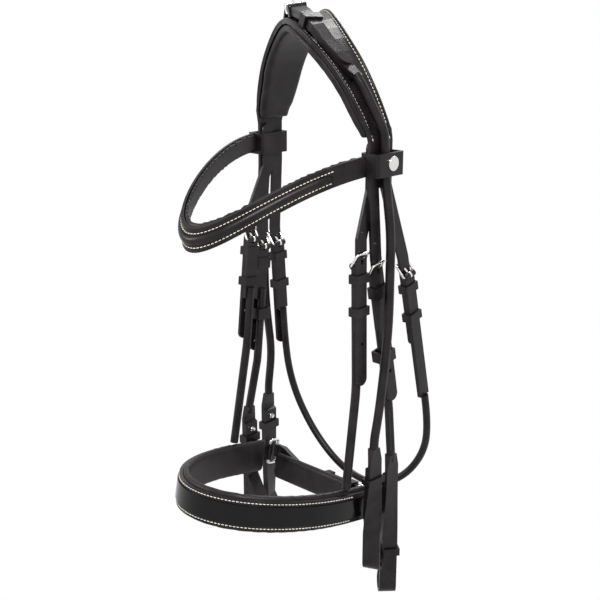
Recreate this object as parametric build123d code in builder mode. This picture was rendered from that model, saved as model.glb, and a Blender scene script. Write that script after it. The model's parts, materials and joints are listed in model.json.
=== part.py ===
"""A double bridle head-stall, hung up as it is stored: every strap, pad, buckle and keeper.

Millimetres. +Z is up, +X is the horse's left (near) side and -Y is the front of the face.
The origin is on the underside of the headpiece, at the poll. Straps that hang at the cheeks lie
in planes of constant X, so a side sketch below gives (Y, Z) pairs.
"""
from build123d import *
from math import asin, atan2, cos, degrees, pi, radians, sin, tan
import os

os.makedirs("parts", exist_ok=True)

# ---- driving dimensions ------------------------------------------------------------------------
half_width = 88.2          # from the middle of the head to the cheek and throat billets
billet_w = 14.0            # strap width at the buckles
billet_t = 3.0             # thickness of a billet
chape_t = 4.4              # two layers of leather turned round a buckle bar and sewn
roll_d = 9.0               # rolled and stitched leather
throat_roll_d = 8.0        # the thinner roll of the throatlash
keeper_t = 1.6             # leather of a keeper
keeper_h = 9.0             # length of a keeper along the strap
wide_keeper_h = 12.0       # the wider keeper low on the cheekpiece
bar_d = 2.4                # wire of a buckle
frame_l = 15.0             # from heel bar to top bar of a buckle
tongue_w = 2.4
tongue_t = 1.8
tongue_opens = 12.0        # degrees that a tongue can lift with the strap in the buckle
hole_d = 3.8
hole_pitch = 28.0
fold_t = 2.0               # leather round a heel bar

crown_t = 3.2              # leather of the headpiece
pad_t = 9.0                # padding under the headpiece
leg_w = 33.0               # headpiece where the browband grips it
leg_top, leg_bottom = -98.0, -142.0

brow_loop_h = 22.0         # the browband's loop along the headpiece
brow_loop_t = 2.6
brow_z = -119.0            # middle of that loop
brow_t = 3.4               # browband leather
brow_pad_t = 4.6           # its padded lining
brow_roll_t = 2.4          # raised middle of the browband

nose_h = 30.0              # noseband leather
nose_t = 3.4
nose_pad_h = 38.0          # padded lining, which shows above and below the leather
nose_pad_t = 7.0
patent_h = 19.0            # glossy strip along the noseband
patent_t = 1.4
nose_half = 84.0           # half width inside the leather
nose_reach = 132.0         # half length of the rounded front
nose_centre_y = -45.0
nose_end_y = 10.0
nose_mid_z = -474.0        # height of the noseband's middle at Y = 0
nose_rise = 0.20           # how much it climbs towards the front

ring_d = 3.2               # wire of the square rings
ring_h = 27.0
ring_l = 13.0
chin_pad_l = 112.0
chin_pad_h = 30.0
chin_pad_t = 9.0

bit_w = 18.0               # the flat loops that hold the bits
bit_t = 6.4                # two layers
bit_eye = 15.0             # clear opening for a bit ring at the bottom of the loop
bit_eye_l = 44.0           # length of the teardrop round it
bit_flare = 14.0           # where the roll has widened into the flat loop

# ---- clearances --------------------------------------------------------------------------------
soft_gap = 0.3             # leather beside leather
slide_gap = 0.4            # a keeper round its straps
bit_keeper_gap = 0.6       # a keeper round the two layers of a bit loop
bar_gap = 0.2              # a fold round its bar
side_gap = 0.4             # a billet between the sides of its buckle

# ---- what follows from them --------------------------------------------------------------------
bar_r = bar_d / 2
fold_r = bar_r + bar_gap + fold_t
bar_n = chape_t / 2 - fold_r                      # heel bar, measured outwards from the chape's middle
billet_n = chape_t / 2 + soft_gap + billet_t / 2  # billet, measured the same way
top_n = billet_n + billet_t / 2 + soft_gap + bar_r
frame_tilt = asin((top_n - bar_n) / frame_l)
tongue_rest = frame_tilt + asin((bar_r + 0.15 + tongue_t / 2) / frame_l)
tongue_up = tongue_rest + radians(tongue_opens)
roll_n = chape_t / 2 - roll_d / 2                 # a roll is flush with the outside of its chape
slip_x = half_width + crown_t / 2 + soft_gap + roll_d / 2
hanger_x = half_width - crown_t / 2 - soft_gap - billet_t / 2
OUT = Vector(1, 0, 0)


# ---- frames and small helpers ------------------------------------------------------------------
def keep(name, piece):
    """Label a finished piece and write it."""
    piece.part.label = name
    export_step(piece.part, f"parts/{name}.step")


def strap_frame(origin, down, out):
    """A plane at a buckle's heel: X across the strap, Y up it towards the billet, Z outwards."""
    up = -Vector(*down).normalized()
    z = (Vector(*out) - up * Vector(*out).dot(up)).normalized()
    return Plane(origin=origin, x_dir=up.cross(z), z_dir=z)


def edge_on(f):
    """The same place seen from the edge: local X up the strap, local Y outwards."""
    return Plane(origin=f.origin, x_dir=f.y_dir, z_dir=f.x_dir)


def across(f, below):
    """A section of the strap, below the heel: local X across it, local Y outwards."""
    return Plane(origin=f.origin - f.y_dir * below, x_dir=f.x_dir, z_dir=-f.y_dir)


def at(f, below, outwards=0.0):
    """A point of the strap's own frame."""
    return f.origin - f.y_dir * below + f.z_dir * outwards


def slot_range():
    """Lowest and highest place, up from the heel, that a tongue needs in the billet it pierces."""
    low = (billet_n - billet_t / 2 - bar_n) / tan(tongue_up) - tongue_t / 2 / sin(tongue_up) - 0.5
    high = (billet_n + billet_t / 2 - bar_n) / tan(tongue_rest) + tongue_t / 2 / sin(tongue_rest) + 0.5
    return low, high


def strap_outline(points, width):
    """A flat strap seen from its face: straight stretches with round turns and ends."""
    for (a, b), (c, d) in zip(points, points[1:]):
        length, turn = ((c - a) ** 2 + (d - b) ** 2) ** 0.5, degrees(atan2(d - b, c - a))
        with Locations(((a + c) / 2, (b + d) / 2)):
            SlotCenterToCenter(length, width, rotation=turn)


def add_chape(f, length):
    """The end of a strap turned round a heel bar, with the slot for the tongue."""
    with BuildSketch(edge_on(f)) as fold:
        with Locations((0, bar_n)):
            Circle(fold_r)
        with Locations((-length / 2, 0)):
            Rectangle(length, chape_t)
        with Locations((0, bar_n)):
            Circle(bar_r + bar_gap, mode=Mode.SUBTRACT)
    extrude(fold.sketch, amount=billet_w / 2, both=True)
    with BuildSketch(f) as slot:
        Rectangle(tongue_w + 1.0, 2 * fold_r + 2.0)
    extrude(slot.sketch, amount=2 * fold_r, both=True, mode=Mode.SUBTRACT)


def add_fixed_keeper(f, below, height=keeper_h):
    """A keeper sewn to the back of the chape, with room for the billet."""
    low, high = -chape_t / 2, billet_n + billet_t / 2 + slide_gap
    inner_w = billet_w + 2 * slide_gap
    with BuildSketch(across(f, below)) as ring:
        with Locations((0, (low + high) / 2)):
            Rectangle(inner_w + 2 * keeper_t, high - low + 2 * keeper_t)
            Rectangle(inner_w, high - low, mode=Mode.SUBTRACT)
    extrude(ring.sketch, amount=height)


def loose_keeper(f, below, low, height=keeper_h, extra=0.0):
    """A keeper that slides along the straps inside it; low is the back of what it goes round."""
    gap = slide_gap + extra
    low, high = low - gap, billet_n + billet_t / 2 + gap
    inner_w = billet_w + 2 * gap
    with BuildPart() as loose:
        with BuildSketch(across(f, below)):
            with Locations((0, (low + high) / 2)):
                Rectangle(inner_w + 2 * keeper_t, high - low + 2 * keeper_t)
                Rectangle(inner_w, high - low, mode=Mode.SUBTRACT)
        extrude(amount=height)
    return loose


def buckle_frame(f):
    """A wire frame round the heel bar and, in front of the billet, the top bar."""
    up = f.y_dir * cos(frame_tilt) + f.z_dir * sin(frame_tilt)
    face = Plane(origin=at(f, 0, bar_n), x_dir=f.x_dir, z_dir=f.x_dir.cross(up))
    half = billet_w / 2 + side_gap + bar_r
    corners = [(-half, 0), (half, 0), (half, frame_l), (-half, frame_l)]
    with BuildPart() as frame:
        with BuildLine(face) as line:
            FilletPolyline(*corners, radius=1.7, close=True)
        wire = line.wire()
        with BuildSketch(Plane(origin=wire @ 0, z_dir=wire % 0)) as section:
            Circle(bar_r)
        sweep(section.sketch, path=wire)
    return frame


def buckle_tongue(f):
    """The tongue: an eye round the heel bar and a pin that rests on the top bar."""
    reach = frame_l + bar_r + 2.0
    with BuildPart() as tongue:
        with BuildSketch(edge_on(f)):
            with Locations((0, bar_n)):
                Circle(fold_r)
            with Locations((reach / 2 * cos(tongue_rest), bar_n + reach / 2 * sin(tongue_rest))):
                SlotCenterToCenter(reach - tongue_t, tongue_t, rotation=degrees(tongue_rest))
            with Locations((0, bar_n)):
                Circle(bar_r + bar_gap, mode=Mode.SUBTRACT)
        extrude(amount=tongue_w / 2, both=True)
    return tongue


def cut_billet_holes(f, spots):
    """The slot that a tongue has pulled out of its hole, and the other holes of the billet."""
    low, high = slot_range()
    with BuildSketch(f) as holes:
        with Locations((0, (low + high) / 2)):
            SlotOverall(high - low, tongue_w + 1.0, rotation=90)
        with Locations(*[(0, (low + high) / 2 + hole_pitch * k) for k in spots]):
            Circle(hole_d / 2)
    extrude(holes.sketch, amount=billet_n + billet_t, mode=Mode.SUBTRACT)


def add_roll(points, radii, diameter):
    """A rolled strap: straight stretches joined by tangent bends."""
    with BuildLine() as line:
        if len(points) > 2:
            FilletPolyline(*points, radius=radii)
        else:
            Line(*points)
    start = Vector(*points[0])
    with BuildSketch(Plane(origin=start, z_dir=Vector(*points[1]) - start)) as section:
        Circle(diameter / 2)
    sweep(section.sketch, path=line.wire())


def smooth_radii(points):
    """A bend at each inner corner, as large as its two runs leave room for."""
    radii = []
    for before, here, after in zip(points, points[1:], points[2:]):
        run_in, run_out = Vector(*here) - Vector(*before), Vector(*after) - Vector(*here)
        turn = radians(run_in.get_angle(run_out))
        radii.append(0.45 * min(run_in.length, run_out.length) / tan(turn / 2))
    return radii


def touch_point(point, centre, radius, side):
    """Where a line from point touches a circle, on its left (1) or right (-1) seen from point."""
    away, turn = (centre - point).length, atan2(centre.Y - point.Y, centre.X - point.X)
    reach, swing = (away ** 2 - radius ** 2) ** 0.5, asin(radius / away)
    return point + Vector(reach * cos(turn + side * swing), reach * sin(turn + side * swing))


def bit_level(top, yaw, drop):
    """A level plane on a bit loop: local X outwards, local Y along its width."""
    top, a = Vector(*top), radians(yaw)
    out = Vector(cos(a) if top.X > 0 else -cos(a), -sin(a), 0)
    return Plane(origin=top - Vector(0, 0, drop), x_dir=out, z_dir=(0, 0, -1))


def bit_yaw(yaw, length, drop):
    """How far the loop has turned towards the front, at a drop below its top."""
    straight = length - bit_eye_l
    return yaw * min(1.0, max(0.0, (drop - bit_flare) / (straight - bit_flare))) ** 2


def add_bit_loop(top, yaw, tip_drop, length):
    """The flat loop for a bit: out of the roll, down, round the eye and back up to its tip.

    The upper stretch is the front layer alone. From tip_drop down, the layer that comes back up
    lies behind it. The loop turns towards the front by yaw as it hangs.
    """
    layer = bit_t / 2
    straight = length - bit_eye_l
    steps = [(0, roll_d + 0.5, roll_d - 1, 0), (bit_flare, bit_w, layer, layer / 2)]
    steps += [(tip_drop - 2, bit_w, layer, layer / 2), (tip_drop, bit_w, bit_t, 0)]
    steps += [(tip_drop + (straight - tip_drop) * k / 6, bit_w, bit_t, 0) for k in range(1, 7)]
    sections = []
    for drop, width, thick, shift in steps:
        with BuildSketch(bit_level(top, bit_yaw(yaw, length, drop), drop)) as section:
            with Locations((shift, 0)):
                Rectangle(thick, width)
        sections.append(section.sketch)
    loft(sections, ruled=True)
    level = bit_level(top, yaw, straight)
    eye = Plane(origin=level.origin, x_dir=level.x_dir, z_dir=level.x_dir.cross(Vector(0, 0, 1)))
    inner_r = bit_eye / 2
    outer_r = inner_r + layer
    centre = Vector(layer - outer_r, outer_r - bit_eye_l)
    apex, touch = Vector(-layer / 2, -8), touch_point(Vector(-layer, 0), centre, outer_r, -1)
    left, right = touch_point(apex, centre, inner_r, -1), touch_point(apex, centre, inner_r, 1)
    with BuildSketch(eye) as teardrop:
        with Locations((centre.X, centre.Y)):
            Circle(outer_r)
        with BuildLine():
            Polyline((layer, 0), (layer, centre.Y), (centre.X, centre.Y), (touch.X, touch.Y), (-layer, 0), close=True)
        make_face()
        with Locations((centre.X, centre.Y)):
            Circle(inner_r, mode=Mode.SUBTRACT)
        with BuildLine():
            Polyline((apex.X, apex.Y), (left.X, left.Y), (centre.X, centre.Y), (right.X, right.Y), close=True)
        make_face(mode=Mode.SUBTRACT)
    extrude(teardrop.sketch, amount=bit_w / 2, both=True)


def bit_keeper(top, yaw, length, drop, height):
    """A keeper round both layers of a bit loop."""
    with BuildPart() as band:
        with BuildSketch(bit_level(top, bit_yaw(yaw, length, drop + height / 2), drop)) as ring:
            Rectangle(bit_t + 2 * bit_keeper_gap + 2 * keeper_t, bit_w + 2 * bit_keeper_gap + 2 * keeper_t)
            Rectangle(bit_t + 2 * bit_keeper_gap, bit_w + 2 * bit_keeper_gap, mode=Mode.SUBTRACT)
        extrude(ring.sketch, amount=height)
    return band


# ---- headpiece ---------------------------------------------------------------------------------
# Stations of the headpiece from the near side over the poll to the off side: middle of the
# leather, width across, and how much the rear edge is raised, in degrees. It hangs a little
# turned, so that the near side lies further forward than the off side.
near_leg_y, far_leg_y = -10.5, 22.0
stations = [
    ((half_width, near_leg_y, leg_top), leg_w, 0), ((84, -15, -80), 36, 0), ((75, -23, -54), 39, 2),
    ((61, -28, -30), 43, 4), ((42, -30, -9), 48, 6), ((18, -23, 6), 54, 8), ((-8, -8, 11.6), 59, 8),
    ((-34, 7, 4), 61, 6), ((-56, 16, -15), 56, 3), ((-72, 20, -41), 51, 0),
    ((-83, 22, -72), 45, 0), ((-half_width, far_leg_y, leg_top), leg_w, 0),
]
crown_path = Spline([s[0] for s in stations], tangents=[(0, 0, 1), (0, 0, -1)])
station_at = [crown_path.param_at_point(s[0]) for s in stations]


def blend(values, k):
    """The value at a fractional station k."""
    low = min(int(k), len(values) - 2)
    return values[low] + (values[low + 1] - values[low]) * (k - low)


def crown_axes(k):
    """Middle, direction, direction across and outward direction of the headpiece at station k."""
    share = blend(station_at, k)
    along = crown_path.tangent_at(share)
    along = Vector(along.X, 0, along.Z).normalized()
    a, flat = radians(blend([s[2] for s in stations], k)), Vector(0, 1, 0)
    outwards = flat.cross(along)
    return crown_path.position_at(share), along, flat * cos(a) + outwards * sin(a), outwards * cos(a) - flat * sin(a)


def ribbon_plane(k, aside, height):
    """A section of something that follows the headpiece: local X across it, local Y outwards."""
    middle, along, flat, outwards = crown_axes(k)
    return Plane(origin=middle + flat * aside + outwards * height, x_dir=flat, z_dir=along * -1)


def over_crown(k, aside, height):
    """A point above the headpiece's leather."""
    return ribbon_plane(k, aside, height).origin


def assembly(side, out, heel_y, heel_z, lean, plane_x):
    """Frame of a buckled strap whose billet hangs in the plane X = plane_x."""
    down = (0, sin(radians(lean)), -cos(radians(lean)))
    return strap_frame((plane_x - out * billet_n, heel_y, heel_z), down, (out, 0, 0))


throat_sink = (throat_roll_d - chape_t) / 2
# The throatlash's roll, from the near strap round under the jaw to the off strap.
throat_route = [
    (half_width + billet_n + throat_sink, 66.0, -372.0),
    (half_width + billet_n + throat_sink, 74.8, -408.8), (86, 79, -447),
    (66, 70, -479), (33, 60, -496), (-5, 54, -487), (-40, 51, -461), (-66, 46, -423), (-79, 41, -384),
    (-half_width + billet_n + throat_sink, 37.0, -340.0),
    (-half_width + billet_n + throat_sink, 34.6, -306.0),
]
throat_lean = {
    1: degrees(atan2(throat_route[1][1] - throat_route[0][1], throat_route[0][2] - throat_route[1][2])),
    -1: degrees(atan2(throat_route[-2][1] - throat_route[-1][1], throat_route[-1][2] - throat_route[-2][2])),
}
# For each side: where the heel bar lies (Y, Z), how the strap leans back as it hangs, in degrees,
# and how far the billet reaches below the heel.
cheeks = {1: (-10.0, -227.0, 11.8, 141.0), -1: (6.0, -230.0, -6.0, 118.0)}
hangers = {1: (-31.4, -215.0, 1.6, 122.0), -1: (-14.3, -218.0, -6.0, 110.0)}
throat_drop = {1: 80.0, -1: 118.0}
throat_l = {1: 141.0, -1: 76.0}
leg_y = {1: near_leg_y, -1: far_leg_y}

cheek_f = {s: assembly(s, s, *cheeks[s][:3], s * half_width) for s in (1, -1)}
hanger_f = {s: assembly(s, s, *hangers[s][:3], s * hanger_x) for s in (1, -1)}
throat_f = {}
for s, end in ((1, throat_route[0]), (-1, throat_route[-1])):
    a = radians(throat_lean[s])
    heel = (end[1] - throat_l[s] * sin(a), end[2] + throat_l[s] * cos(a))
    throat_f[s] = assembly(s, -1, *heel, throat_lean[s], s * half_width)


def yz(point):
    return (point.Y, point.Z)


def side_plane(x):
    """Sketch plane at X = x, with local X along Y and local Y along Z."""
    return Plane(origin=(x, 0, 0), x_dir=(0, 1, 0), z_dir=(1, 0, 0))


steps = [k / 2 for k in range(2 * len(stations) - 1)]
crown_w = [s[1] for s in stations]
with BuildPart() as headpiece:
    for k in steps:
        with BuildSketch(ribbon_plane(k, 0, 0)):
            Rectangle(blend(crown_w, k), crown_t)
    loft(ruled=True)
    for s in (1, -1):
        cheek, throat = cheek_f[s], throat_f[s]
        with BuildSketch(side_plane(s * half_width)):
            with Locations((leg_y[s], (leg_top + leg_bottom) / 2)):
                Rectangle(leg_w, leg_top - leg_bottom)
        extrude(amount=crown_t / 2, both=True)
        for f, shift, reach in ((cheek, -1, cheeks[s][3]), (throat, 1, throat_drop[s])):
            start = (leg_y[s] + shift * (leg_w - billet_w) / 2, leg_bottom + 1)
            with BuildSketch(side_plane(s * half_width)):
                strap_outline([start, yz(at(f, -18)), yz(at(f, reach - billet_w / 2))], billet_w)
            extrude(amount=billet_t / 2, both=True)
    for s in (1, -1):
        cut_billet_holes(cheek_f[s], (1, -3, -4))
        cut_billet_holes(throat_f[s], (-2,) if s > 0 else (-2, -3))
keep("headpiece", headpiece)

pad_overhang = 2.0
pad_depth = -(crown_t + pad_t) / 2 - soft_gap
with BuildPart() as headpiece_padding:
    for k in [0.2] + steps[1:-1] + [len(stations) - 1.2]:
        with BuildSketch(ribbon_plane(k, 0, pad_depth)):
            with BuildLine():
                w, d = blend(crown_w, k) / 2 + pad_overhang, pad_t / 2
                Polyline((-w, -1), (-w + 3, d), (w - 3, d), (w, -1), (w - 4, -d), (-w + 4, -d), close=True)
            make_face()
    loft(ruled=True)
keep("headpiece_padding", headpiece_padding)

# ---- noseband slip: the billets that carry the noseband come out from under the headpiece -------
for s, side in ((1, "left"), (-1, "right")):
    f = hanger_f[s]
    top_y = leg_y[s] - (leg_w - billet_w) / 2 + 1.5
    with BuildPart() as noseband_billet:
        with BuildSketch(side_plane(s * hanger_x)):
            points = [(top_y, leg_top - billet_w / 2), (top_y, leg_bottom - 2)]
            points += [yz(at(f, -26)), yz(at(f, hangers[s][3] - billet_w / 2))]
            strap_outline(points, billet_w)
        extrude(amount=billet_t / 2, both=True)
        cut_billet_holes(f, (1, -3))
    keep(f"noseband_billet_{side}", noseband_billet)

# ---- buckled straps ----------------------------------------------------------------------------
plate_l = 58.0
nose_top_y = -45.0


def nose_z(y):
    """Height of the noseband's middle line."""
    return nose_mid_z - nose_rise * y


cheek_end = {1: (95.0, 9.5, -420.0), -1: (-94.0, -9.0, -415.0)}
cheek_turn = {1: 44.0, -1: 8.0}
cheek_loop_l = {1: 164.0, -1: 126.0}
tip_drop = 20.0
cheek_keeper_at = {1: 84.0, -1: 68.0}
for s, side in ((1, "left"), (-1, "right")):
    f = cheek_f[s]
    with BuildPart() as cheekpiece:
        add_chape(f, plate_l)
        add_fixed_keeper(f, 12.0, wide_keeper_h)
        route = [at(f, plate_l - 12, roll_n), at(f, cheeks[s][3] + 9, roll_n)]
        route += [Vector(*cheek_end[s]), Vector(*cheek_end[s]) - Vector(0, 0, 8)]
        add_roll(route, [25, 25], roll_d)
        add_bit_loop(cheek_end[s], cheek_turn[s], tip_drop, cheek_loop_l[s])
    keep(f"cheekpiece_{side}", cheekpiece)
    keep(f"cheek_keeper_{side}", loose_keeper(f, cheek_keeper_at[s], roll_n - roll_d / 2, wide_keeper_h))
    keep(f"cheek_buckle_{side}", buckle_frame(f))
    keep(f"cheek_tongue_{side}", buckle_tongue(f))

    f = hanger_f[s]
    with BuildPart() as hanger:
        add_chape(f, plate_l + 6)
        add_fixed_keeper(f, 8.0)
        first, second = at(f, plate_l - 6, roll_n), at(f, hangers[s][3] + 6, roll_n)
        foot = Vector(s * (nose_half - 2.2), nose_top_y, nose_z(nose_top_y) + nose_pad_h / 2 + 2.0)
        add_roll([first, second, foot], 130, roll_d)
    keep(f"noseband_hanger_{side}", hanger)
    keep(f"noseband_keeper_{side}", loose_keeper(f, 41.0, -chape_t / 2))
    keep(f"noseband_buckle_{side}", buckle_frame(f))
    keep(f"noseband_tongue_{side}", buckle_tongue(f))

    f = throat_f[s]
    with BuildPart() as throat_strap:
        add_chape(f, throat_l[s])
        add_fixed_keeper(f, 10.0)
    keep(f"throat_strap_{side}", throat_strap)
    keep(f"throat_keeper_{side}", loose_keeper(f, 42.0, -chape_t / 2))
    keep(f"throat_buckle_{side}", buckle_frame(f))
    keep(f"throat_tongue_{side}", buckle_tongue(f))

# ---- throatlash roll: a free, hanging piece -----------------------------------------------------
radii = smooth_radii(throat_route)
print("throatlash bend radii:", [round(r) for r in radii])
with BuildPart() as throatlash_roll:
    add_roll(throat_route, radii, throat_roll_d)
    with BuildLine(mode=Mode.PRIVATE) as route:
        FilletPolyline(*throat_route, radius=radii)
route_length = route.wire().length
print("throatlash length:", round(route_length), "volume share:",
      round(throatlash_roll.part.volume / (pi * throat_roll_d ** 2 / 4 * route_length), 4))
keep("throatlash_roll", throatlash_roll)

# ---- browband ----------------------------------------------------------------------------------
brow_half, brow_reach, brow_y0 = 93.5, 173.0, 6.0
brow_dip, brow_dip_low = 58.0, 61.0
brow_top_z, brow_low_z = -108.6, -127.6


def brow_plan(grow):
    """Plan of the browband, a parabola; grow moves it outwards."""
    a, b = brow_half + grow, brow_reach + grow
    Bezier((-a, brow_y0), (0, brow_y0 - 2 * b), (a, brow_y0))
    Line((a, brow_y0), (-a, brow_y0))


def brow_shell(inner, outer, top, low, dip_top, dip_low):
    """The wall between two plans, between an upper and a lower edge that dip to the front."""
    with BuildSketch(Plane.XY.offset(-260)) as plan:
        with BuildLine():
            brow_plan(outer)
        make_face()
        with BuildLine():
            brow_plan(inner)
        make_face(mode=Mode.SUBTRACT)
    extrude(plan.sketch, amount=200)
    reach = brow_reach + 10
    share = (reach / brow_reach) ** 2
    with BuildSketch(side_plane(0)) as profile:
        with BuildLine():
            far_top, far_low = top - dip_top * share, low - dip_low * share
            Bezier((brow_y0 - reach, far_top), (brow_y0 - reach / 2, top), (brow_y0, top))
            Line((brow_y0, top), (brow_y0, low))
            Bezier((brow_y0, low), (brow_y0 - reach / 2, low), (brow_y0 - reach, far_low))
            Line((brow_y0 - reach, far_low), (brow_y0 - reach, far_top))
        make_face()
    extrude(profile.sketch, amount=brow_half + 20, both=True, mode=Mode.INTERSECT)


loop_in = hanger_x - billet_t / 2 - slide_gap
loop_out = slip_x + roll_d / 2 + slide_gap
loop_half_y = leg_w / 2 + slide_gap
loop_front = {s: leg_y[s] - loop_half_y - brow_loop_t for s in (1, -1)}
with BuildPart() as browband:
    brow_shell(0, brow_t, brow_top_z, brow_low_z, brow_dip, brow_dip_low)
    for s in (1, -1):
        with BuildSketch(Plane.XY.offset(brow_z - 20)):
            with Locations((s * brow_half, loop_front[s] + 1 + brow_reach / 2)):
                Rectangle(brow_half, brow_reach)
        extrude(amount=40, mode=Mode.SUBTRACT)
    for s in (1, -1):
        with BuildSketch(Plane.XY.offset(brow_z - brow_loop_h / 2)):
            with Locations((s * (loop_in + loop_out) / 2, leg_y[s])):
                RectangleRounded(loop_out - loop_in + 2 * brow_loop_t, 2 * (loop_half_y + brow_loop_t), 3.0)
                Rectangle(loop_out - loop_in, 2 * loop_half_y, mode=Mode.SUBTRACT)
        extrude(amount=brow_loop_h)
keep("browband", browband)

with BuildPart() as browband_padding:
    brow_shell(-soft_gap - brow_pad_t, -soft_gap, brow_top_z + 0.5, brow_low_z + 1.0, brow_dip, brow_dip_low)
    for s in (1, -1):
        with BuildSketch(Plane.XY.offset(brow_z - 20)):
            with Locations((s * brow_half, loop_front[s] - 2 + brow_reach / 2)):
                Rectangle(brow_half, brow_reach)
        extrude(amount=40, mode=Mode.SUBTRACT)
keep("browband_padding", browband_padding)

badge_d, badge_t = 14.0, 1.8
with BuildPart() as browband_badge:
    with BuildSketch(Plane(origin=(loop_out + brow_loop_t, leg_y[1] + 2, brow_z + 1), x_dir=(0, 1, 0), z_dir=(1, 0, 0))):
        Circle(badge_d / 2)
    extrude(amount=badge_t)
    fillet(browband_badge.faces().sort_by(Axis.X)[-1].edges(), 0.8)
keep("browband_badge", browband_badge)

# ---- noseband ----------------------------------------------------------------------------------
nose_plane = Plane(origin=(0, 0, nose_mid_z), x_dir=(1, 0, 0), z_dir=(0, nose_rise, 1))


def nose_wall(inner, outer, height, end_y, radius=0.0):
    """A wall round the front of the nose between two plans, in the noseband's leaning frame."""
    def plan(grow, mode):
        with Locations((0, nose_centre_y)):
            Ellipse(nose_half + grow, nose_reach + grow, mode=mode)
        with Locations((0, (nose_centre_y + end_y) / 2)):
            Rectangle(2 * (nose_half + grow), end_y - nose_centre_y, mode=mode)
    with BuildSketch(nose_plane.offset(-height / 2)) as wall:
        plan(outer, Mode.ADD)
        plan(inner, Mode.SUBTRACT)
        with Locations((0, end_y + nose_reach)):
            Rectangle(3 * nose_half, 2 * nose_reach, mode=Mode.SUBTRACT)
    extrude(wall.sketch, amount=height)


nose_along = Vector(0, 1, -nose_rise).normalized()     # along the noseband's side, to the back
nose_up = Vector(0, nose_rise, 1).normalized()
ring_front_y = nose_end_y + 4.0
ring_r = ring_d / 2
ring_fold_r = ring_r + bar_gap + keeper_t
nose_tab_h = ring_h - ring_d - 5.6


def ring_bar(s, back):
    """Middle of the ring's front bar, or of its rear bar with back = ring_l."""
    start = Vector(s * (nose_half + nose_t / 2), ring_front_y, nose_z(ring_front_y))
    return start + nose_along * back


with BuildPart() as noseband:
    nose_wall(0, nose_t, nose_h, nose_end_y - 6)
    for s in (1, -1):
        tab = Plane(origin=ring_bar(s, 0) - nose_up * nose_tab_h / 2, x_dir=(1, 0, 0), z_dir=nose_up)
        with BuildSketch(tab) as end:
            Circle(ring_fold_r)
            with Locations((0, -8)):
                Rectangle(nose_t, 16)
            Circle(ring_r + bar_gap, mode=Mode.SUBTRACT)
        extrude(end.sketch, amount=nose_tab_h)
keep("noseband", noseband)
with BuildPart() as noseband_padding:
    nose_wall(-soft_gap - nose_pad_t, -soft_gap, nose_pad_h, nose_end_y - 12)
    fillet(noseband_padding.edges().filter_by(lambda e: e.length > 60), 2.8)
keep("noseband_padding", noseband_padding)
with BuildPart() as noseband_patent:
    nose_wall(nose_t, nose_t + patent_t, patent_h, nose_end_y - 30)
keep("noseband_patent", noseband_patent)

# ---- square rings at the noseband's ends -------------------------------------------------------
for s, side in ((1, "left"), (-1, "right")):
    face = Plane(origin=ring_bar(s, 0), x_dir=nose_along, z_dir=nose_up.cross(nose_along))
    half = ring_h / 2
    with BuildPart() as ring:
        with BuildLine(face) as line:
            FilletPolyline((0, -half), (0, half), (ring_l, half), (ring_l, -half), radius=2.4, close=True)
        wire = line.wire()
        with BuildSketch(Plane(origin=wire @ 0, z_dir=wire % 0)) as section:
            Circle(ring_r)
        sweep(section.sketch, path=wire)
    keep(f"noseband_ring_{side}", ring)

# ---- chin strap: buckled on the near side, with its pad behind the chin -------------------------
chin_out = nose_up.cross(Vector(1, 0, 0))
chin_drop = 10.4                                      # its middle hangs this much below the rings'
chin_heel_x = 40.0
chin_heel = ring_bar(1, ring_l) + Vector(chin_heel_x - nose_half - nose_t / 2, 0, 0)
chin_f = strap_frame(chin_heel - chin_out * bar_n - nose_up * chin_drop, (-1, 0, 0), chin_out)
near_ring_y = nose_half + nose_t / 2 - chin_heel_x    # up the strap from the heel
far_ring_y = -(nose_half + nose_t / 2) - chin_heel_x
chin_back = chape_t / 2 + slide_gap + keeper_t + 0.1  # the back of the strap where it is lined
chin_lining = (far_ring_y + 8, -62.0)
chin_billet_end = -60.0


def ring_fold(x, mode=Mode.ADD):
    """Leather round a ring's rear bar, or the room for that bar."""
    middle = chin_f.origin + chin_f.x_dir * chin_drop
    with BuildSketch(Plane(origin=middle, x_dir=chin_f.y_dir, z_dir=chin_f.x_dir)) as fold:
        with Locations((x, bar_n)):
            Circle(ring_fold_r if mode == Mode.ADD else ring_r + bar_gap)
    extrude(fold.sketch, amount=billet_w / 2 + (0 if mode == Mode.ADD else 3), both=True, mode=mode)


with BuildPart() as chin_strap:
    with BuildSketch(edge_on(chin_f)) as edge:
        with Locations(((far_ring_y - 30) / 2, 0)):
            Rectangle(-30 - far_ring_y, chape_t)
        low, high = chin_lining
        with Locations(((low + high) / 2, (chape_t / 2 - chin_back) / 2)):
            Rectangle(high - low, chape_t / 2 + chin_back)
    extrude(edge.sketch, amount=30, both=True)
    with BuildSketch(chin_f) as outline:
        strap_outline([(chin_drop, far_ring_y), (chin_drop, far_ring_y + 10), (0, far_ring_y + 34), (0, -30)], billet_w)
    extrude(outline.sketch, amount=12, both=True, mode=Mode.INTERSECT)
    ring_fold(far_ring_y)
    ring_fold(far_ring_y, Mode.SUBTRACT)
    add_chape(chin_f, 60)
    add_fixed_keeper(chin_f, 8.0)
keep("chin_strap", chin_strap)

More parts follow.
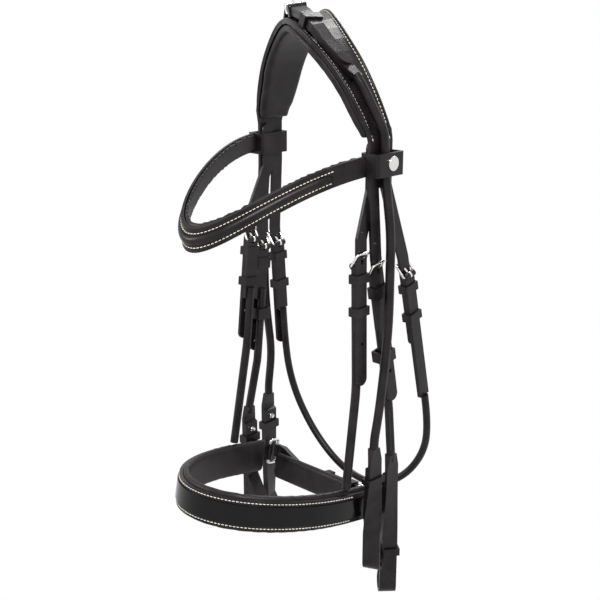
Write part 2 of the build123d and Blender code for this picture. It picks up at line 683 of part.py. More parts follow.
with BuildPart() as chin_billet:
    inner, outer = billet_n - billet_t / 2, billet_n + billet_t / 2
    with BuildSketch(edge_on(chin_f)) as edge:
        with BuildLine():
            Polyline((chin_billet_end, inner), (20, inner), (near_ring_y, chape_t / 2 - billet_t),
                     (near_ring_y, chape_t / 2), (20, outer), (chin_billet_end, outer), close=True)
        make_face()
    extrude(edge.sketch, amount=30, both=True)
    with BuildSketch(chin_f) as outline:
        strap_outline([(chin_drop, near_ring_y), (chin_drop, near_ring_y - 6), (0, 26), (0, chin_billet_end + billet_w / 2)], billet_w)
    extrude(outline.sketch, amount=12, both=True, mode=Mode.INTERSECT)
    ring_fold(near_ring_y)
    ring_fold(near_ring_y, Mode.SUBTRACT)
    cut_billet_holes(chin_f, (-1.6,))
keep("chin_billet", chin_billet)
keep("chin_buckle", buckle_frame(chin_f))
keep("chin_tongue", buckle_tongue(chin_f))
keep("chin_keeper", loose_keeper(chin_f, 42.0, -chape_t / 2))
with BuildPart() as chin_pad:
    with BuildSketch(across(chin_f, 5.0)):
        with Locations((-3.0, -chin_back - soft_gap - chin_pad_t / 2)):
            RectangleRounded(chin_pad_h, chin_pad_t, 3.6)
    extrude(amount=chin_pad_l)
keep("chin_pad", chin_pad)

# ---- sliphead: over the poll, buckled there, down outside everything else to the other bit ------
poll_heel = over_crown(6.30, -9.0, 7.4)
poll_f = strap_frame(poll_heel, over_crown(5.70, -13.5, 7.0) - poll_heel, crown_axes(6.1)[3])
slip_low = crown_t / 2 + soft_gap + chape_t / 2 + 0.6
slip_rise = 3.2                                       # where it runs straight under the loose keeper
over_poll = [
    (5.15, -14.5, slip_low + slip_rise), (4.35, -14.5, slip_low + slip_rise), (3.8, -12.0, slip_low),
    (3.3, -8.5, slip_low), (2.85, -6.0, slip_low),
]


def slip_ribbon(sections):
    """A flat strap through sections, each a plane with a width and a thickness."""
    pieces = []
    for plane, width, thick in sections:
        with BuildSketch(plane) as piece:
            Rectangle(width, thick)
        pieces.append(piece.sketch)
    loft(pieces, ruled=True)


slip_near = [
    over_crown(2.55, -5.0, slip_low + 2.6), over_crown(2.0, -3.5, 7.4), over_crown(1.4, -2.5, 7.4),
    over_crown(0.8, -2.5, 7.4), over_crown(0.35, -2.5, 7.0), Vector(slip_x, -12.5, -97),
    Vector(slip_x, -7.5, -144), Vector(98.2, -3.6, -186), Vector(98.2, -3.6, -275),
    Vector(98.4, -9, -322), Vector(98.4, -16, -366), Vector(98.4, -22, -392), Vector(98.4, -22.5, -402),
]
slip_loops = {1: (66.0, 139.0), -1: (20.0, 172.0)}
with BuildPart() as sliphead_left:
    add_chape(poll_f, 18)
    ribbons = [(across(poll_f, 17.5), billet_w, chape_t)]
    ribbons += [(ribbon_plane(k, a, h), billet_w, chape_t) for k, a, h in over_poll]
    ribbons += [(ribbon_plane(2.45, -4.6, slip_low + 1.8), roll_d + 0.5, roll_d - 1)]
    slip_ribbon(ribbons)
    add_fixed_keeper(poll_f, 7.0)
    add_roll(slip_near, smooth_radii(slip_near), roll_d)
    add_bit_loop(slip_near[-1], slip_loops[1][0], tip_drop, slip_loops[1][1])
keep("sliphead_left", sliphead_left)

far_low = crown_t / 2 + soft_gap + billet_t / 2
far_poll = [(8.9, 0.0, far_low + 1.0), (8.3, 0.5, far_low + 1.6), (7.7, 0.0, far_low + 3.2)]
slip_far = [
    over_crown(9.3, 0.0, 7.4), over_crown(9.9, 0.0, 7.6), over_crown(10.45, 0.0, 7.4),
    over_crown(10.8, 0.0, 7.0), Vector(-slip_x, 22.5, -97), Vector(-slip_x, 22.5, -144),
    Vector(-98.2, 21.5, -186), Vector(-98.2, 22.0, -292),
    Vector(-97.5, 31, -360), Vector(-97, 25, -400), Vector(-97, 25, -410),
]
with BuildPart() as sliphead_right:
    ribbons = [(ribbon_plane(9.4, 0.0, slip_low + 1.8), roll_d + 0.5, roll_d - 1)]
    ribbons += [(ribbon_plane(*place), billet_w, billet_t) for place in far_poll]
    for below in (-24, -18, 17.5):
        middle = at(poll_f, below, billet_n)
        ribbons.append((Plane(origin=middle, x_dir=poll_f.x_dir, z_dir=-poll_f.y_dir), billet_w, billet_t))
    ribbons += [(ribbon_plane(k, a, h + billet_n), billet_w, billet_t) for k, a, h in over_poll[:-1]]
    for k, a, share in ((3.1, -7.4, 1.0), (3.0, -6.8, 0.86), (2.93, -6.4, 0.62), (2.88, -6.2, 0.3)):
        ribbons.append((ribbon_plane(k, a, slip_low + billet_n), billet_w * share, billet_t))
    slip_ribbon(ribbons)
    cut_billet_holes(poll_f, (1,))
    add_roll(slip_far, smooth_radii(slip_far), roll_d)
    add_bit_loop(slip_far[-1], slip_loops[-1][0], tip_drop, slip_loops[-1][1])
keep("sliphead_right", sliphead_right)
keep("poll_buckle", buckle_frame(poll_f))
keep("poll_tongue", buckle_tongue(poll_f))
high_end, low_end = over_crown(*over_poll[0]), over_crown(*over_poll[1])
poll_keeper_f = strap_frame((high_end + low_end) / 2, low_end - high_end, crown_axes(4.75)[3])
keep("poll_keeper", loose_keeper(poll_keeper_f, -keeper_h / 2, -chape_t / 2, keeper_h, 0.5))

# ---- keepers and studs of the bit loops, and the poll's loop ------------------------------------
bit_loops = {
    "cheek_left": (cheek_end[1], cheek_turn[1], cheek_loop_l[1], (108.0, 8.0)),
    "cheek_right": (cheek_end[-1], cheek_turn[-1], cheek_loop_l[-1], (34.0, 9.0)),
    "sliphead_left": (slip_near[-1], *slip_loops[1], (32.0, 6.0)),
    "sliphead_right": (slip_far[-1], *slip_loops[-1], (34.0, 9.0)),
}
for name, (top, yaw, length, (drop, height)) in bit_loops.items():
    keep(f"{name}_bit_keeper", bit_keeper(top, yaw, length, drop, height))
    with BuildPart() as stud:
        level = bit_level(top, bit_yaw(yaw, length, 27), 27)
        axis = Plane(origin=level.origin - level.x_dir * (bit_t / 2 + 0.1), x_dir=(0, 0, 1), z_dir=level.x_dir * -1)
        with BuildSketch(Plane(origin=axis.origin, x_dir=axis.z_dir, z_dir=axis.z_dir.cross(Vector(0, 0, 1)))):
            with BuildLine():
                Polyline((0, 0), (0, 2.6), (0.8, 2.6), (0.8, 1.3), (2.4, 1.3), (2.4, 2.2), (3.4, 2.2), (3.9, 0), close=True)
            make_face()
        revolve(axis=Axis(axis.origin, axis.z_dir))
    keep(f"{name}_hook_stud", stud)
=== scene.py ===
"""A double bridle head-stall, dressed: leather, padding, patent leather, stitching and steel.

Metres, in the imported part's frame: +Z is up, +X is the near side and -Y is the front of the face.
"""

import json
import logging
import math
from dataclasses import dataclass
from enum import Enum

import bpy
from mathutils import Matrix, Vector

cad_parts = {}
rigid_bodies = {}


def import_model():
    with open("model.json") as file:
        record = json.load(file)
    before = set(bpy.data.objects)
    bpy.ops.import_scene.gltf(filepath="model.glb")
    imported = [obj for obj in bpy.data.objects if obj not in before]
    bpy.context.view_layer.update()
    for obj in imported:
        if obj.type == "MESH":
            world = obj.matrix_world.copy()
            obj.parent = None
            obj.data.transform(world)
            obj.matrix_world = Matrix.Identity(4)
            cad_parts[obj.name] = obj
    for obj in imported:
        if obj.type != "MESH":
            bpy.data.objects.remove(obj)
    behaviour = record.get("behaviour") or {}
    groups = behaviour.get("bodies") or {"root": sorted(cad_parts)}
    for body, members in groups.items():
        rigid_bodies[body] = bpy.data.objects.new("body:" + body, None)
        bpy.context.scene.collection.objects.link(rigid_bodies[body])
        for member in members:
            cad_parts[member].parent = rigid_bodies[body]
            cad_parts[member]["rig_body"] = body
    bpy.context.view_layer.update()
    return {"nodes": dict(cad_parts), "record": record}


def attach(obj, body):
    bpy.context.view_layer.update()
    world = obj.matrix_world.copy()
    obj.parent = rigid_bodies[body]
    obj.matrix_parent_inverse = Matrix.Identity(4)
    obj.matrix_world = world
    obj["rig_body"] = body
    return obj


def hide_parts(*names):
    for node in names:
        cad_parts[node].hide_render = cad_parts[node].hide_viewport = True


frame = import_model()
NODES = frame["nodes"]
LOG = logging.getLogger("headstall")
MM = 0.001
LIFT = 0.0001            # a stitch's middle stands this far off the leather


class Slot(Enum):
    """The record's material slots."""

    LEATHER = "leather"
    PADDING = "padding"
    PATENT = "patent"
    STEEL = "steel"
    BADGE = "badge"


def slot_of(name: str) -> Slot:
    """Material slot of a CAD node.

    Args:
        name: the node's name.
    Returns:
        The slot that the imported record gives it.
    """
    for row in frame["record"]["subparts"]:
        if row["node"] == name:
            return Slot(row["material_slot"])
    return Slot.LEATHER


def body_of_node(name: str) -> str:
    """Name of the body that carries a CAD node."""
    return NODES[name]["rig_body"]


def add_noise(
    material: bpy.types.Material, place: bpy.types.Node, scale: float, detail: float
) -> bpy.types.Node:
    """Add a noise pattern that is fixed to the piece.

    Args:
        material: the material that gets it.
        place: its texture coordinate node.
        scale: pattern cells per metre.
        detail: how many finer layers it has.
    Returns:
        The noise node.
    """
    noise = material.node_tree.nodes.new("ShaderNodeTexNoise")
    noise.inputs["Scale"].default_value = scale
    noise.inputs["Detail"].default_value = detail
    material.node_tree.links.new(place.outputs["Object"], noise.inputs["Vector"])
    return noise


@dataclass(frozen=True)
class Leather:
    """Finished leather: a dark mottled ground, a pebbled and creased grain, and an uneven gloss.

    A scale is in pattern cells per metre, and grain_bump is a height in metres.
    """

    name: str
    dark: tuple[float, float, float]
    light: tuple[float, float, float]
    roughness: float
    grain: float = 1500.0
    grain_bump: float = 0.00012
    specular: float = 0.22
    mottle_scale: float = 60.0
    creases_per_grain: float = 0.2
    bump_strength: float = 0.45

    def build(self) -> bpy.types.Material:
        """Make the node material.

        Returns:
            The material, ready for a piece's slot.
        """
        material = bpy.data.materials.new(self.name)
        material.use_nodes = True
        nodes, links = material.node_tree.nodes, material.node_tree.links
        shader = nodes["Principled BSDF"]
        place = nodes.new("ShaderNodeTexCoord")
        mottle = add_noise(material, place, self.mottle_scale, 4.0)
        ramp = nodes.new("ShaderNodeValToRGB")
        ramp.color_ramp.elements[0].position = 0.35
        ramp.color_ramp.elements[0].color = (*self.dark, 1)
        ramp.color_ramp.elements[1].position = 0.72
        ramp.color_ramp.elements[1].color = (*self.light, 1)
        links.new(mottle.outputs["Fac"], ramp.inputs["Fac"])
        pebble = nodes.new("ShaderNodeTexVoronoi")
        pebble.inputs["Scale"].default_value = self.grain
        links.new(place.outputs["Object"], pebble.inputs["Vector"])
        crease = add_noise(material, place, self.grain * self.creases_per_grain, 6.0)
        height = nodes.new("ShaderNodeMath")
        height.operation = "ADD"
        links.new(pebble.outputs["Distance"], height.inputs[0])
        links.new(crease.outputs["Fac"], height.inputs[1])
        bump = nodes.new("ShaderNodeBump")
        bump.inputs["Strength"].default_value = self.bump_strength
        bump.inputs["Distance"].default_value = self.grain_bump
        links.new(height.outputs[0], bump.inputs["Height"])
        gloss = nodes.new("ShaderNodeMapRange")
        gloss.inputs["To Min"].default_value = self.roughness - 0.07
        gloss.inputs["To Max"].default_value = self.roughness + 0.10
        links.new(mottle.outputs["Fac"], gloss.inputs["Value"])
        links.new(ramp.outputs["Color"], shader.inputs["Base Color"])
        links.new(gloss.outputs["Result"], shader.inputs["Roughness"])
        links.new(bump.outputs["Normal"], shader.inputs["Normal"])
        shader.inputs["Specular IOR Level"].default_value = self.specular
        return material


@dataclass(frozen=True)
class Metal:
    """Polished steel with fine rubbing marks."""

    name: str
    colour: tuple[float, float, float]
    roughness: float
    rub_scale: float = 420.0
    rubbed_share: float = 0.82

    def build(self) -> bpy.types.Material:
        """Make the node material.

        Returns:
            The material, ready for a piece's slot.
        """
        material = bpy.data.materials.new(self.name)
        material.use_nodes = True
        nodes, links = material.node_tree.nodes, material.node_tree.links
        shader = nodes["Principled BSDF"]
        shader.inputs["Metallic"].default_value = 1.0
        place = nodes.new("ShaderNodeTexCoord")
        rub = add_noise(material, place, self.rub_scale, 5.0)
        ramp = nodes.new("ShaderNodeValToRGB")
        ramp.color_ramp.elements[0].color = tuple(c * self.rubbed_share for c in self.colour) + (1,)
        ramp.color_ramp.elements[1].color = (*self.colour, 1)
        links.new(rub.outputs["Fac"], ramp.inputs["Fac"])
        links.new(ramp.outputs["Color"], shader.inputs["Base Color"])
        gloss = nodes.new("ShaderNodeMapRange")
        gloss.inputs["To Min"].default_value = self.roughness * 0.6
        gloss.inputs["To Max"].default_value = self.roughness * 1.6
        links.new(rub.outputs["Fac"], gloss.inputs["Value"])
        links.new(gloss.outputs["Result"], shader.inputs["Roughness"])
        return material


FINISHES = {
    Slot.LEATHER: Leather(
        "bridle_leather", (0.0045, 0.0032, 0.0036), (0.013, 0.0095, 0.0105), 0.34
    ).build(),
    Slot.PADDING: Leather(
        "lining_leather", (0.006, 0.0045, 0.0052), (0.016, 0.012, 0.0135), 0.44, 1100.0
    ).build(),
    Slot.PATENT: Leather(
        "patent_leather", (0.0012, 0.0012, 0.0014), (0.002, 0.002, 0.0024), 0.12, 400.0, 0.00001, 0.22
    ).build(),
    Slot.STEEL: Metal("polished_steel", (0.82, 0.81, 0.79), 0.16).build(),
    Slot.BADGE: Metal("polished_badge", (0.80, 0.79, 0.77), 0.12).build(),
}
THREAD = Leather(
    "waxed_thread", (0.62, 0.57, 0.48), (0.80, 0.76, 0.66), 0.6, 3000.0, 0.00008
).build()


def dress(piece: bpy.types.Object, finish: bpy.types.Material) -> None:
    """Give a piece its one finish."""
    piece.data.materials.clear()
    piece.data.materials.append(finish)


def select_only(piece: bpy.types.Object) -> None:
    """Make a piece the only one that operators act on.

    Args:
        piece: a piece that is in the scene.
    """
    bpy.ops.object.select_all(action="DESELECT")
    piece.select_set(True)
    bpy.context.view_layer.objects.active = piece


def edit_whole(piece: bpy.types.Object) -> None:
    """Open a piece for editing with all of it selected.

    Args:
        piece: a mesh piece that is in the scene.
    """
    select_only(piece)
    bpy.ops.object.mode_set(mode="EDIT")
    bpy.ops.mesh.select_all(action="SELECT")


def face_outwards(piece: bpy.types.Object) -> None:
    """Turn all the faces of a closed piece outwards and smooth it.

    Args:
        piece: a mesh piece that is in the scene.
    """
    edit_whole(piece)
    bpy.ops.mesh.normals_make_consistent(inside=False)
    bpy.ops.object.mode_set(mode="OBJECT")
    bpy.ops.object.shade_smooth()


@dataclass
class Camera:
    """The viewpoint: in front of the near side, a little above the noseband."""

    place: tuple[float, float, float] = (0.6874, -0.7592, 0.0323)
    looks: tuple[float, float, float] = (-0.65526, 0.69940, -0.28545)
    lens: float = 61.6

    def build(self) -> None:
        """Make the camera and make it the scene's own."""
        data = bpy.data.cameras.new("camera")
        data.lens, data.sensor_width = self.lens, 36.0
        camera = bpy.data.objects.new("camera", data)
        camera.location = self.place
        camera.rotation_euler = Vector(self.looks).to_track_quat("-Z", "Y").to_euler()
        bpy.context.scene.collection.objects.link(camera)
        bpy.context.scene.camera = camera


@dataclass
class Throatlash:
    """The rolled throatlash, which hangs free under the jaw. Its route is in metres."""

    diameter: float = 0.008
    length: float = 0.399
    route: tuple[tuple[float, float, float], ...] = (
        (0.0940, 0.066, -0.372), (0.0940, 0.0748, -0.4088), (0.086, 0.079, -0.447),
        (0.066, 0.070, -0.479), (0.033, 0.060, -0.496), (-0.005, 0.054, -0.487),
        (-0.040, 0.051, -0.461), (-0.066, 0.046, -0.423), (-0.079, 0.041, -0.384),
        (-0.0824, 0.037, -0.340), (-0.0824, 0.0346, -0.306),
    )

    def build(self) -> None:
        data = bpy.data.curves.new("throatlash_cord", "CURVE")
        data.dimensions = "3D"
        data.bevel_depth = self.diameter / 2
        data.bevel_resolution = 6
        data.use_fill_caps = True
        data.resolution_u = 16
        spline = data.splines.new("NURBS")
        spline.points.add(len(self.route) - 1)
        for point, place in zip(spline.points, self.route):
            point.co = (*place, 1.0)
        spline.order_u = 3
        spline.use_endpoint_u = True
        cord = bpy.data.objects.new("throatlash_cord", data)
        bpy.context.scene.collection.objects.link(cord)
        dress(cord, FINISHES[Slot.LEATHER])
        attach(cord, "headstall")
        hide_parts("throatlash_roll")
        LOG.info("throatlash: %.0f mm of roll", self.length / MM)


@dataclass
class Padding:
    """A padded lining: the plain solid's shape with its corners rounded off."""

    node: str
    fill: float
    voxel: float = 0.0022
    smoothing: int = 8
    weld: float = 0.00002

    def build(self) -> None:
        source = NODES[self.node]
        piece = source.copy()
        piece.data = source.data.copy()
        piece.name = f"{self.node}_stuffed"
        for key in [k for k in piece.keys() if k.startswith("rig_")]:
            del piece[key]
        piece.parent = None
        piece.matrix_world = Matrix.Identity(4)
        bpy.context.scene.collection.objects.link(piece)
        edit_whole(piece)
        bpy.ops.mesh.remove_doubles(threshold=self.weld)
        bpy.ops.object.mode_set(mode="OBJECT")
        remesh = piece.modifiers.new("even", "REMESH")
        remesh.mode, remesh.voxel_size = "VOXEL", self.voxel
        bpy.ops.object.modifier_apply(modifier="even")
        smooth = piece.modifiers.new("rounded", "SMOOTH")
        smooth.factor, smooth.iterations = 0.5, self.smoothing
        bpy.ops.object.modifier_apply(modifier="rounded")
        bpy.ops.object.shade_smooth()
        dress(piece, FINISHES[Slot.PADDING])
        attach(piece, body_of_node(self.node))
        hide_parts(self.node)
        LOG.info("%s: %d faces", piece.name, len(piece.data.polygons))


@dataclass
class Seam:
    """A row of stitches laid along a smooth line, each a short rounded tuft of thread."""

    name: str
    body: str
    points: list[Vector]
    outwards: list[Vector]
    stitch: float = 0.0026
    pitch: float = 0.0037
    thick: float = 0.0007

    def build(self) -> None:
        """Model one stitch and repeat it along the line, as one mesh."""
        bpy.ops.object.select_all(action="DESELECT")
        bpy.ops.mesh.primitive_cube_add(size=1.0)
        seed = bpy.context.active_object
        bpy.ops.object.mode_set(mode="EDIT")
        bpy.ops.mesh.select_all(action="SELECT")
        bpy.ops.mesh.bevel(offset=0.28, segments=2)
        bpy.ops.object.mode_set(mode="OBJECT")
        template = seed.data
        corners = [v.co.copy() for v in template.vertices]
        polygons = [tuple(p.vertices) for p in template.polygons]
        verts, faces = [], []
        for place, along, out in self.places():
            side = along.cross(out).normalized()
            turn = Matrix((along * self.stitch, side * self.thick, out * self.thick)).transposed()
            first = len(verts)
            verts += [place + turn @ c for c in corners]
            faces += [tuple(first + i for i in face) for face in polygons]
        bpy.data.objects.remove(seed)
        mesh = bpy.data.meshes.new(self.name)
        mesh.from_pydata(verts, [], faces)
        mesh.update()
        piece = bpy.data.objects.new(self.name, mesh)
        bpy.context.scene.collection.objects.link(piece)
        face_outwards(piece)
        dress(piece, THREAD)
        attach(piece, self.body)
        LOG.info("%s: %d faces", self.name, len(faces))

    def places(self) -> list[tuple[Vector, Vector, Vector]]:
        """Where each stitch lies.

        Returns:
            For each stitch its middle, its direction and the way out of the leather.
        """
        found, travelled, due = [], 0.0, self.pitch / 2
        for k in range(len(self.points) - 1):
            a, b = self.points[k], self.points[k + 1]
            run = (b - a).length
            while run > 0 and due <= travelled + run:
                share = (due - travelled) / run
                along = (b - a).normalized()
                out = self.outwards[k].lerp(self.outwards[k + 1], share)
                out = (out - along * out.dot(along)).normalized()
                found.append((a.lerp(b, share), along, out))
                due += self.pitch
            travelled += run
        return found


@dataclass
class NosebandSeams:
    """Rows of stitches above and below the noseband's glossy strip."""

    half: float = 0.084
    reach: float = 0.132
    centre_y: float = -0.045
    leather: float = 0.0034
    middle_z: float = -0.474
    rise: float = 0.20
    rows: tuple[float, ...] = (0.0124, -0.0124)
    turns: int = 180

    def build(self) -> None:
        """Stitch each row round the front of the nose."""
        lean = math.sqrt(1 + self.rise ** 2)
        for number, row in enumerate(self.rows):
            points, ways = [], []
            for step in range(self.turns + 1):
                a = math.pi + math.pi * step / self.turns
                x = (self.half + self.leather) * math.cos(a)
                y = (self.reach + self.leather) * math.sin(a)
                flat = Vector((x / (self.half ** 2), y / (self.reach ** 2), 0)).normalized()
                local = Vector((x, self.centre_y + y, row)) + flat * LIFT
                points.append(self.lean(local, lean))
                ways.append((self.lean(local + flat, lean) - self.lean(local, lean)).normalized())
            Seam(f"noseband_seam_{number + 1}", "headstall", points, ways).build()

    def lean(self, local: Vector, length: float) -> Vector:
        """Carry a point from the noseband's leaning frame to the part's own.

        Args:
            local: the point in the leaning frame.
            length: length of that frame's directions before they are made 1 long.
        Returns:
            The point in the part's frame.
        """
        across = Vector((0, 1, -self.rise)) / length
        up = Vector((0, self.rise, 1)) / length
        return Vector((local.x, 0, self.middle_z)) + across * local.y + up * local.z


@dataclass
class BrowbandFront:
    """The browband's front: a raised roll between two rows of stitches.

    The plan is a parabola, half wide and reach deep, and both edges dip towards the middle.
    """

    half: float = 0.0935
    reach: float = 0.173
    start_y: float = 0.006
    leather: float = 0.0034
    top_z: float = -0.1086
    low_z: float = -0.1276
    dip_top: float = 0.058
    dip_low: float = 0.061
    inset: float = 0.0045
    steps: int = 200
    first_step: int = 22
    last_step: int = 178

    def build(self) -> None:
        """Stitch both rows from loop to loop and lay the raised roll between them."""
        Seam("browband_seam_top", "browband", *self.line(0.0, -self.inset)).build()
        Seam("browband_seam_low", "browband", *self.line(1.0, self.inset)).build()
        Roll("browband_roll", "browband", *self.line(0.5, 0.0)).build()

    def line(self, share: float, inset: float) -> tuple[list[Vector], list[Vector]]:
        """A line along the front of the browband.

        Args:
            share: 0 at its upper edge, 1 at its lower one.
            inset: how much higher than that the line lies.
        Returns:
            The line's points and, at each, the way out of the leather.
        """
        a, b = self.half + self.leather, self.reach + self.leather
        edge = self.top_z + (self.low_z - self.top_z) * share
        dip = self.dip_top + (self.dip_low - self.dip_top) * share
        points, ways = [], []
        for step in range(self.first_step, self.last_step + 1):
            t = step / self.steps
            x = -a * (1 - t) ** 2 + a * t ** 2
            y = self.start_y - 4 * b * t * (1 - t)
            z = edge + inset - dip * ((self.start_y - y) / self.reach) ** 2
            slope = Vector((2 * a, -4 * b * (1 - 2 * t), 0))
            way = Vector((slope.y, -slope.x, 0)).normalized()
            points.append(Vector((x, y, z)) + way * LIFT)
            ways.append(way)
        return points, ways


@dataclass
class HeadpieceEdge:
    """The headpiece's front and rear edges: a fine rolled rim with a row of stitches beside it.

    Each station gives the middle of the leather, its width, all in metres, and by how many
    degrees its rear edge is raised. They are those of the solid headpiece.
    """

    rise: float = 0.0017
    inset: float = 0.0042
    rim: float = 0.0036
    rim_height: float = 0.0016
    rim_sides: int = 10
    steps: int = 12
    look_ahead: float = 0.02
    stations: tuple[tuple[float, float, float, float, float], ...] = (
        (0.0882, -0.0105, -0.098, 0.033, 0), (0.084, -0.015, -0.080, 0.036, 0),
        (0.075, -0.023, -0.054, 0.039, 2), (0.061, -0.028, -0.030, 0.043, 4),
        (0.042, -0.030, -0.009, 0.048, 6), (0.018, -0.023, 0.006, 0.054, 8),
        (-0.008, -0.008, 0.0116, 0.059, 8), (-0.034, 0.007, 0.004, 0.061, 6),
        (-0.056, 0.016, -0.015, 0.056, 3), (-0.072, 0.020, -0.041, 0.051, 0),
        (-0.083, 0.022, -0.072, 0.045, 0), (-0.0882, 0.022, -0.098, 0.033, 0),
    )

    def build(self) -> None:
        """Stitch and roll both edges."""
        for mark, sign in (("front", -1), ("rear", 1)):
            Seam(f"headpiece_seam_{mark}", "headstall", *self.line(sign, self.inset)).build()
            points, ways = self.line(sign, self.rim / 2)
            Roll(
                f"headpiece_rim_{mark}", "headstall", points, ways, self.rim, self.rim_height, self.rim_sides
            ).build()

    def line(self, sign: int, inset: float) -> tuple[list[Vector], list[Vector]]:
        """A smooth line along one edge of the headpiece.

        Args:
            sign: -1 for the front edge, 1 for the rear one.
            inset: how far inside the edge the line lies.
        Returns:
            The line's points and, at each, the way out of the leather.
        """
        points, ways = [], []
        count = len(self.stations)
        for step in range((count - 1) * self.steps + 1):
            k = min(step // self.steps, count - 2)
            t = step / self.steps - k
            rows = [self.stations[min(max(k + j, 0), count - 1)] for j in (-1, 0, 1, 2)]
            now = [self.ease(t, [row[c] for row in rows]) for c in range(5)]
            soon = [self.ease(t + self.look_ahead, [row[c] for row in rows]) for c in range(3)]
            along = Vector((soon[0] - now[0], 0, soon[2] - now[2])).normalized()
            raised = math.radians(now[4])
            flat = Vector((0, 1, 0))
            up = flat.cross(along)
            across = flat * math.cos(raised) + up * math.sin(raised)
            out = up * math.cos(raised) - flat * math.sin(raised)
            place = Vector(now[:3]) + across * sign * (now[3] / 2 - inset) + out * self.rise
            points.append(place)
            ways.append(out)
        return points, ways

    @staticmethod
    def ease(t: float, values: list[float]) -> float:
        """Find a smooth value through four evenly spaced ones.

        Args:
            t: how far it lies from the second value, at 0, to the third, at 1.
            values: the four values.
        Returns:
            The value at t.
        """
        a, b, c, d = values
        return 0.5 * (2 * b + (c - a) * t + (2 * a - 5 * b + 4 * c - d) * t * t
                      + (3 * b - a - 3 * c + d) * t ** 3)


@dataclass
class Roll:
    """A raised, rounded roll sewn along a band: an oval carried along a smooth line.

    The oval is width wide and stands height off the line, and it tapers off at both ends.
    """

    name: str
    body: str
    points: list[Vector]
    outwards: list[Vector]
    width: float = 0.0085
    height: float = 0.0030
    sides: int = 16
    end_share: float = 0.25
    end_steps: int = 6

    def build(self) -> None:
        """Extrude the oval along the line, close both ends and dress it."""
        bpy.ops.object.select_all(action="DESELECT")
        bpy.ops.mesh.primitive_circle_add(vertices=self.sides, radius=1.0, fill_type="NGON")
        piece = bpy.context.active_object
        piece.name = self.name
        bpy.ops.object.mode_set(mode="EDIT")
        for _ in self.points[1:]:
            bpy.ops.mesh.extrude_region_move(TRANSFORM_OT_translate={"value": (0, 0, 1)})
        bpy.ops.object.mode_set(mode="OBJECT")
        last = len(self.points) - 1
        for vertex in piece.data.vertices:
            k = min(int(round(vertex.co.z)), last)
            along = (self.points[min(k + 1, last)] - self.points[max(k - 1, 0)]).normalized()
            out = (self.outwards[k] - along * self.outwards[k].dot(along)).normalized()
            side = along.cross(out)
            from_end = self.end_share + min(k, last - k) / self.end_steps
            taper = math.sin(min(1.0, from_end) * math.pi / 2)
            local_x, local_y = vertex.co.x * self.width / 2, vertex.co.y * self.height
            vertex.co = self.points[k] + side * local_x * taper + out * local_y * taper
        face_outwards(piece)
        dress(piece, FINISHES[Slot.LEATHER])
        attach(piece, self.body)
        LOG.info("%s: %d faces", self.name, len(piece.data.polygons))


@dataclass(frozen=True)
class Lamp:
    """A soft square lamp that points at the middle of the bridle. Its power is in watts."""

    name: str
    place: tuple[float, float, float]
    size: float
    power: float
    target: tuple[float, float, float] = (0, 0, -0.3)

    def build(self) -> None:
        """Hang the lamp and turn it to its target."""
        data = bpy.data.lights.new(self.name, "AREA")
        data.energy, data.size = self.power, self.size
        lamp = bpy.data.objects.new(self.name, data)
        lamp.location = self.place
        way = Vector(self.target) - Vector(self.place)
        lamp.rotation_euler = way.to_track_quat("-Z", "Y").to_euler()
        bpy.context.scene.collection.objects.link(lamp)


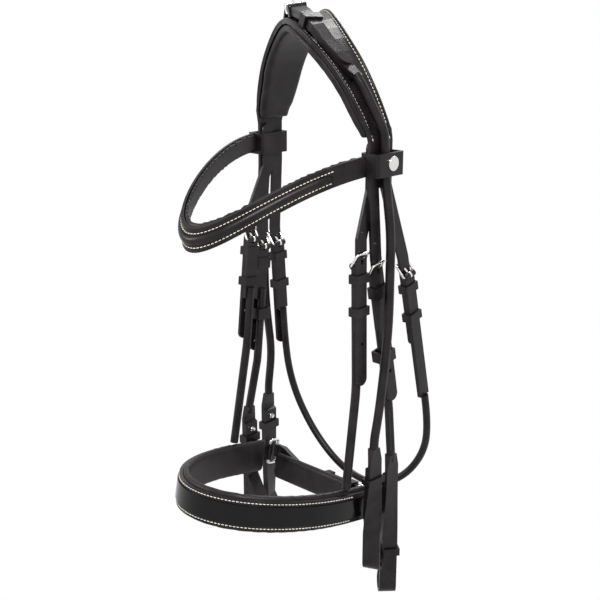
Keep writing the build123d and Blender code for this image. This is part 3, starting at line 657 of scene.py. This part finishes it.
@dataclass
class Room:
    """Plain floor and surroundings with soft studio light."""

    floor_z: float = -0.75
    size: float = 12.0
    glow: float = 0.75
    lamps: tuple[Lamp, ...] = (
        Lamp("window", (1.2, -0.9, 0.9), 0.45, 34.0),
        Lamp("fill", (-1.2, -1.3, 0.5), 0.6, 20.0),
        Lamp("rim", (-0.4, 1.3, 1.0), 0.6, 20.0),
    )

    def build(self) -> None:
        """Lay the floor, set the surroundings and hang the lamps."""
        self.lay_floor()
        self.surround()
        for lamp in self.lamps:
            lamp.build()
        bpy.context.scene.view_settings.view_transform = "Standard"

    def lay_floor(self) -> None:
        """Lay a pale floor that the camera sees as white."""
        bpy.ops.object.select_all(action="DESELECT")
        bpy.ops.mesh.primitive_plane_add(size=self.size, location=(0, 0, self.floor_z))
        floor = bpy.context.active_object
        floor.name = "floor"
        material = bpy.data.materials.new("pale_floor")
        material.use_nodes = True
        nodes, links = material.node_tree.nodes, material.node_tree.links
        shader, out = nodes["Principled BSDF"], nodes["Material Output"]
        shader.inputs["Base Color"].default_value = (0.9, 0.9, 0.9, 1)
        shader.inputs["Roughness"].default_value = 0.9
        white = nodes.new("ShaderNodeEmission")
        mix = nodes.new("ShaderNodeMixShader")
        links.new(self.seen(nodes, links), mix.inputs[0])
        links.new(shader.outputs[0], mix.inputs[1])
        links.new(white.outputs[0], mix.inputs[2])
        links.new(mix.outputs[0], out.inputs["Surface"])
        dress(floor, material)

    def surround(self) -> None:
        """Light softly from all round, and show the camera white."""
        world = bpy.data.worlds.new("studio")
        bpy.context.scene.world = world
        world.use_nodes = True
        nodes, links = world.node_tree.nodes, world.node_tree.links
        soft = nodes["Background"]
        soft.inputs["Color"].default_value = (0.86, 0.87, 0.9, 1)
        soft.inputs["Strength"].default_value = self.glow
        bright = nodes.new("ShaderNodeBackground")
        bright.inputs["Color"].default_value = (1, 1, 1, 1)
        mix = nodes.new("ShaderNodeMixShader")
        links.new(self.seen(nodes, links), mix.inputs[0])
        links.new(soft.outputs[0], mix.inputs[1])
        links.new(bright.outputs[0], mix.inputs[2])
        links.new(mix.outputs[0], nodes["World Output"].inputs["Surface"])

    @staticmethod
    def seen(nodes: bpy.types.Nodes, links: bpy.types.NodeLinks) -> bpy.types.NodeSocket:
        """A value that is 1 for what the camera sees, directly or in metal or glass.

        Args:
            nodes: the nodes of the tree.
            links: the links of the tree.
        Returns:
            The socket that gives the value.
        """
        path = nodes.new("ShaderNodeLightPath")
        first, second = nodes.new("ShaderNodeMath"), nodes.new("ShaderNodeMath")
        first.operation = second.operation = "MAXIMUM"
        links.new(path.outputs["Is Camera Ray"], first.inputs[0])
        links.new(path.outputs["Is Glossy Ray"], first.inputs[1])
        links.new(first.outputs[0], second.inputs[0])
        links.new(path.outputs["Is Transmission Ray"], second.inputs[1])
        return second.outputs[0]


def dress_frame() -> None:
    """Give every CAD node the finish of its slot."""
    for name, node in NODES.items():
        dress(node, FINISHES[slot_of(name)])
    LOG.info("dressed %d nodes", len(NODES))


def main() -> None:
    """Build the dressed head-stall, piece by piece."""
    logging.basicConfig(level=logging.INFO)
    bpy.ops.object.select_all(action="DESELECT")
    Camera().build()
    Throatlash().build()
    dress_frame()
    for node, fill in (
        ("headpiece_padding", 0.6), ("noseband_padding", 0.7),
        ("browband_padding", 0.6), ("chin_pad", 0.7),
    ):
        Padding(node, fill).build()
    HeadpieceEdge().build()
    NosebandSeams().build()
    BrowbandFront().build()
    Room().build()


if __name__ == "__main__":
    main()
